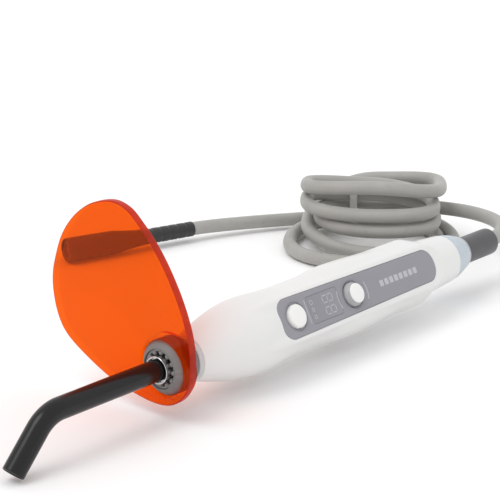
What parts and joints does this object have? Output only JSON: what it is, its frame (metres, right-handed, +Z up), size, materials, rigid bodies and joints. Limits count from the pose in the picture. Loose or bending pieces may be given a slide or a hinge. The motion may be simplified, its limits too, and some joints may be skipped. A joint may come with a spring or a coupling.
{
  "type": "dental curing light",
  "caption": "Corded light-curing wand with a bent removable light guide, a tinted eye shield that turns on the nose, press buttons, and a coiled cable with an in-line power socket.",
  "frame": {"origin": "on the floor plane, under the middle of the whole object's bounding box", "axes": "+X along the level handpiece axis from the nose to the tail, +Z up, the button panel faces -Y and up"},
  "size_m": [0.3326, 0.1826, 0.0762],
  "materials": {
    "shell": "smooth white, glossy",
    "shell_rear": "smooth white, glossy",
    "steel": "bright screw steel",
    "ring": "satin grey",
    "barrel": "satin grey",
    "snap": "bright",
    "oring": "matt black",
    "ferrule": "polished",
    "guide_coat": "gloss black",
    "guide_glass": "drawn glass fibre",
    "shield": "clear orange acrylic, polished edges",
    "lens": "polished",
    "black_part": "satin black",
    "emitter": "resin dome on white ceramic",
    "star_board": "white mask",
    "heat_sink": "turned",
    "wire_red": "wire sheath",
    "panel": "satin purple-grey",
    "window": "smoked clear",
    "display_case": "pale grey",
    "digits": "diffuse red",
    "leds": "clear resin",
    "button": "near-white, satin gloss",
    "switch": "black with steel top",
    "board": "green solder mask",
    "chip": "moulded black",
    "coil_part": "ferrite",
    "connector": "ivory",
    "tail_cap": "translucent pale blue-grey",
    "rim": "grey",
    "sleeve": "charcoal, satin",
    "cable": "grey, matt",
    "tie": "natural nylon",
    "plug": "black, satin",
    "contact": "plated"
  },
  "bodies": {
    "handpiece": {"shell_front": "shell", "shell_back": "shell_rear", "shell_screws": "steel", "nose_ring": "ring", "nose_socket": "barrel", "spring_collet": "snap", "collimating_lens": "lens", "lens_retainer": "black_part", "led_emitter": "emitter", "led_board": "star_board", "heat_sink": "heat_sink", "led_wires": "wire_red", "control_panel": "panel", "display_window": "window", "display_module": "display_case", "display_digits": "digits", "indicator_leds": "leds", "start_switch": "switch", "mode_switch": "switch", "main_board": "board", "board_screws": "steel", "controller_chip": "chip", "power_coil": "coil_part", "buzzer": "black_part", "board_connectors": "connector", "supply_wires": "black_part", "tail_cap": "tail_cap", "tail_rim": "rim", "strain_relief": "sleeve", "cable_clamp": "black_part", "cable": "cable", "cable_tie": "tie", "plug_sleeve": "plug", "plug_body": "plug", "plug_insulator": "plug", "plug_contact": "contact", "plug_pin": "contact"},
    "guide_seal": {"guide_oring": "oring"},
    "light_guide": {"guide_ferrule": "ferrule", "guide_jacket": "guide_coat", "guide_core": "guide_glass"},
    "eye_shield": {"light_shield": "shield"},
    "start_key": {"start_button": "button", "start_plunger": "switch"},
    "mode_key": {"mode_button": "button", "mode_plunger": "switch"}
  },
  "joints": [
    {"name": "guide_pull", "type": "slide", "parent": "handpiece", "child": "guide_seal", "axis": [-1, 0, 0], "range_m": [0, 0.018]},
    {"name": "guide_turn", "type": "hinge", "parent": "guide_seal", "child": "light_guide", "pos_m": [-0.09307, -0.07457, 0.01925], "axis": [1, 0, 0], "continuous": true},
    {"name": "shield_turn", "type": "hinge", "parent": "handpiece", "child": "eye_shield", "pos_m": [-0.09307, -0.07457, 0.01925], "axis": [1, 0, 0], "continuous": true},
    {"name": "start_press", "type": "slide", "parent": "handpiece", "child": "start_key", "axis": [-0.0157, 0.8828, -0.4694], "range_m": [0, 0.0005], "stiffness_N_per_m": 2000},
    {"name": "mode_press", "type": "slide", "parent": "handpiece", "child": "mode_key", "axis": [-0.0157, 0.8828, -0.4694], "range_m": [0, 0.0005], "stiffness_N_per_m": 2000}
  ]
}
